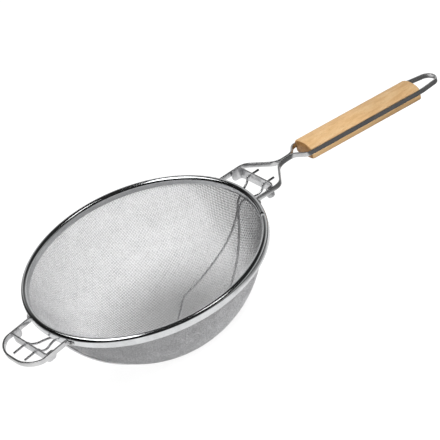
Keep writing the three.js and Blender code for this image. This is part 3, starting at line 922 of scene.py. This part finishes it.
# %% Support wires
for name, side in (("left", 1), ("right", -1)):
    curve = bpy.data.curves.new(f"support_wire_{name}_rod", "CURVE")
    curve.dimensions = "3D"
    curve.bevel_depth = wire_radius * MM
    curve.bevel_resolution = 4
    curve.use_fill_caps = True
    line = smooth_route([at(p.x, side * p.y, p.z) for p in route], 5)
    spline = curve.splines.new("POLY")
    spline.points.add(len(line) - 1)
    for point, p in zip(spline.points, line):
        point.co = (*p, 1)
    rod = bpy.data.objects.new(f"support_wire_{name}_rod", curve)
    bpy.context.collection.objects.link(rod)
    take(rod)
    bpy.ops.object.convert(target="MESH")
    rod = bpy.context.object
    ends = rod.modifiers.new("ends", "BEVEL")
    ends.width = 0.35 * MM
    ends.segments = 2
    ends.limit_method = "ANGLE"
    ends.angle_limit = math.radians(60)
    apply_modifiers(rod)
    keep(settle(rod), bright_wire, "bright_wire", f"support_wire_{name}")

# %% [markdown]
# Four small rivets hold the feet to the rim. Each has a low round head with a shallow dimple where the
# tool pressed it. A turned shape like this is spun from half of its outline, drawn lying along the shank.

# %% Rivets
tail = [(0, 128.0), (1.6, 128.0), (1.6, 128.9), (1.25, 128.9), (1.25, 131.4), (2.0, 131.4)]
head = [(1.97, 131.6), (1.82, 131.85), (1.5, 132.05), (1.1, 132.09)]
dimple = [(0.8, 132.0), (0.45, 131.82), (0, 131.78)]
rivet_z, past_leg = -3.2, 5
yoke_turn, ear_turn = (leg_side + past_leg) / rim_radius, (ear_side + past_leg) / rim_radius
places = [
    ("yoke_rivet_left", yoke_turn),
    ("yoke_rivet_right", -yoke_turn),
    ("ear_rivet_left", math.pi - ear_turn),
    ("ear_rivet_right", -math.pi + ear_turn),
]
for name, angle in places:
    rivet = open_line(f"{name}_head", [at(a, 0, rivet_z + r) for r, a in tail + head + dimple])
    take(rivet)
    bpy.ops.object.mode_set(mode="EDIT")
    bpy.ops.mesh.select_all(action="SELECT")
    bpy.ops.mesh.spin(steps=28, angle=2 * math.pi, center=at(0, 0, rivet_z), axis=(1, 0, 0))
    bpy.ops.mesh.select_all(action="SELECT")
    bpy.ops.mesh.remove_doubles(threshold=1e-6)
    bpy.ops.mesh.normals_make_consistent(inside=False)
    bpy.ops.object.mode_set(mode="OBJECT")
    bpy.ops.transform.rotate(value=-angle, orient_axis="Z", center_override=at(0, 0, 0))
    keep(settle(rivet), rivet_steel, "rivet_steel", name)

# %% [markdown]
# The grip is a length of pale hardwood with a domed top, a flat underside and a groove along each
# side for the strip. It starts as a flat outline of the section, which is pushed along the handle in steps.
# The first and last steps are drawn in a little, which rounds the ends.

# %% Section of the grip
grip_start, grip_length, half_width = 214.5, 149.5, 14.0
dome_rise, grip_bottom = 5.75, -9.4


def curve_between(a, corner, b, steps):
    return [
        Vector(a) * (1 - t) ** 2 + Vector(corner) * 2 * t * (1 - t) + Vector(b) * t * t
        for t in np.linspace(0, 1, steps)
    ]


groove_top, groove_low, groove_in = 2.95, -2.95, half_width - 2.3
side = [Vector((groove_in, 0)), Vector((groove_in, groove_top)), Vector((half_width - 0.3, groove_top))]
side += [
    Vector((half_width * math.cos(a), groove_top + dome_rise * math.sin(a)))
    for a in np.linspace(0.1, math.pi / 2, 14)
]
under = curve_between((0, grip_bottom), (6, grip_bottom), (11.4, -9.1), 5)
under += curve_between((11.4, -9.1), (half_width, -8.9), (half_width, -6.4), 7)[1:]
under += [Vector((half_width, -3.3)), Vector((half_width - 0.3, groove_low))]
under += [Vector((groove_in, groove_low))]
right_half = under + side
left_half = [Vector((-p.x, p.y)) for p in reversed(right_half)]
outline = right_half + left_half[1:-1]
print("grip section of", len(outline), "points")

# %% Wooden grip
mesh = bpy.data.meshes.new("wood_grip_block")
corners = [tuple(at(grip_start, p.x, strip_middle + p.y)) for p in outline]
mesh.from_pydata(corners, [], [tuple(range(len(corners)))])
grip = bpy.data.objects.new("wood_grip_block", mesh)
bpy.context.collection.objects.link(grip)
take(grip)
bpy.ops.object.mode_set(mode="EDIT")
bpy.ops.mesh.select_all(action="SELECT")
middle = at(grip_start, 0, strip_middle - 0.35)
end_steps = [(0.0, 0.86), (0.35, 0.93), (1.0, 0.97), (2.2, 1.0)]
stations = end_steps + [(grip_length * k / 8, 1.0) for k in range(1, 8)]
stations += [(grip_length - d, s) for d, s in reversed(end_steps)]
previous = (0.0, 1.0)
for i, (d, s) in enumerate(stations):
    if i:
        step = (d - previous[0]) * MM
        bpy.ops.mesh.extrude_region_move(TRANSFORM_OT_translate={"value": (step, 0, 0)})
    ratio = s / previous[1]
    centre = (middle.x + d * MM, middle.y, middle.z)
    bpy.ops.transform.resize(value=(1, ratio, ratio), center_override=centre)
    previous = (d, s)
bpy.ops.mesh.select_all(action="SELECT")
bpy.ops.mesh.normals_make_consistent(inside=False)
bpy.ops.object.mode_set(mode="OBJECT")
bend_down(grip)
place_drooping(grip, handle_droop, 1)
settle(grip, 40)
report(grip)

# %% [markdown]
# The wood is pale and straight-grained. Its pattern is cut from a block: soft year rings that run the
# length of the grip, fine fibres, short darker pores and broad warmer patches. The cut ends show the
# rings from their darker end grain, chosen by which way the surface faces. Towards the loop the whole grip
# is a little darker.

# %% Helpers for the wood's pattern
wood = bpy.data.materials.new("pale_hardwood")
wood.use_nodes = True
nodes, links = wood.node_tree.nodes, wood.node_tree.links
timber = nodes["Principled BSDF"]
timber.inputs["Specular IOR Level"].default_value = 0.35
where = nodes.new("ShaderNodeTexCoord")


def stretched(scale, detail, size=(1, 1, 1), rough=0.55):
    """Noise that is drawn out along the grip's length."""
    mapping = nodes.new("ShaderNodeMapping")
    mapping.inputs["Rotation"].default_value = (0, -math.radians(handle_droop + grip_bend), 0)
    mapping.inputs["Scale"].default_value = size
    noise = nodes.new("ShaderNodeTexNoise")
    noise.inputs["Scale"].default_value = scale
    noise.inputs["Detail"].default_value = detail
    noise.inputs["Roughness"].default_value = rough
    links.new(where.outputs["Object"], mapping.inputs["Vector"])
    links.new(mapping.outputs[0], noise.inputs["Vector"])
    return noise


def ramp(source, stops):
    colours = nodes.new("ShaderNodeValToRGB")
    while len(colours.color_ramp.elements) < len(stops):
        colours.color_ramp.elements.new(0.5)
    for element, (position, colour) in zip(colours.color_ramp.elements, stops):
        element.position = position
        element.color = (*colour, 1)
    links.new(source, colours.inputs["Fac"])
    return colours


def blend(kind, factor, a, b):
    mix = nodes.new("ShaderNodeMix")
    mix.data_type = "RGBA"
    mix.blend_type = kind
    if isinstance(factor, float):
        mix.inputs["Factor"].default_value = factor
    else:
        links.new(factor, mix.inputs["Factor"])
    links.new(a, mix.inputs["A"])
    links.new(b, mix.inputs["B"])
    return mix.outputs["Result"]


print("wood helpers ready")

# %% Colour along the grain
rings = stretched(1.0, 3, (5, 210, 320))
fibres = stretched(1.0, 2, (22, 1500, 1500), 0.7)
pores = stretched(1.0, 1, (130, 2200, 2200))
patches = stretched(1.0, 2, (14, 45, 45))
base = ramp(
    rings.outputs["Fac"],
    [(0.30, (0.74, 0.52, 0.29)), (0.52, (0.69, 0.45, 0.23)), (0.72, (0.58, 0.355, 0.16))],
)
fibre_tone = ramp(fibres.outputs["Fac"], [(0.30, (0.88, 0.85, 0.80)), (0.62, (1.0, 1.0, 1.0))])
pore_tone = ramp(pores.outputs["Fac"], [(0.24, (0.62, 0.50, 0.38)), (0.33, (1.0, 1.0, 1.0))])
patch_tone = ramp(patches.outputs["Fac"], [(0.30, (0.95, 0.93, 0.90)), (0.70, (1.0, 1.0, 1.0))])
colour = blend("MULTIPLY", 1.0, base.outputs["Color"], fibre_tone.outputs["Color"])
colour = blend("MULTIPLY", 1.0, colour, pore_tone.outputs["Color"])
colour = blend("MULTIPLY", 1.0, colour, patch_tone.outputs["Color"])
darker_from, darker_to = at(275.18, 0, 0).x, at(310.18, 0, 0).x
loop_end_tone = falling_off(links, nodes, where.outputs["Object"], (1, 0, 0), darker_from, darker_to, 1.0, 0.87)
colour = toned(links, nodes, colour, loop_end_tone)
print("grip darker from", round(darker_from, 4), "to", round(darker_to, 4))

# %% End grain
facing = nodes.new("ShaderNodeSeparateXYZ")
links.new(where.outputs["Normal"], facing.inputs[0])
endways = nodes.new("ShaderNodeMath")
endways.operation = "ABSOLUTE"
links.new(facing.outputs["X"], endways.inputs[0])
end_mask = map_range(links, nodes, endways.outputs[0], 0.55, 0.95, 0.0, 1.0, "LINEAR")
end_rings = stretched(1.0, 3, (60, 420, 620))
end_grain = ramp(end_rings.outputs["Fac"], [(0.35, (0.46, 0.24, 0.08)), (0.65, (0.30, 0.14, 0.045))])
colour = blend("MIX", end_mask, colour, end_grain.outputs["Color"])
links.new(colour, timber.inputs["Base Color"])
print("end grain in", wood.name)

# %% Rubbed surface of the wood
rub = nodes.new("ShaderNodeGroup")
rub.node_tree = clouds
rub.inputs["Patch Size"].default_value = 40
rub.inputs["Clean"].default_value = 0.42
rub.inputs["Dull"].default_value = 0.60
links.new(rub.outputs["Dullness"], timber.inputs["Roughness"])
relief = nodes.new("ShaderNodeBump")
relief.inputs["Strength"].default_value = 0.25
relief.inputs["Distance"].default_value = 0.0003
links.new(fibres.outputs["Fac"], relief.inputs["Height"])
links.new(relief.outputs["Normal"], timber.inputs["Normal"])
keep(grip, wood, "wood", "wood_grip")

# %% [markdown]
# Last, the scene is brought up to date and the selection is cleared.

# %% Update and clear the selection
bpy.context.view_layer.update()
clear_selection()
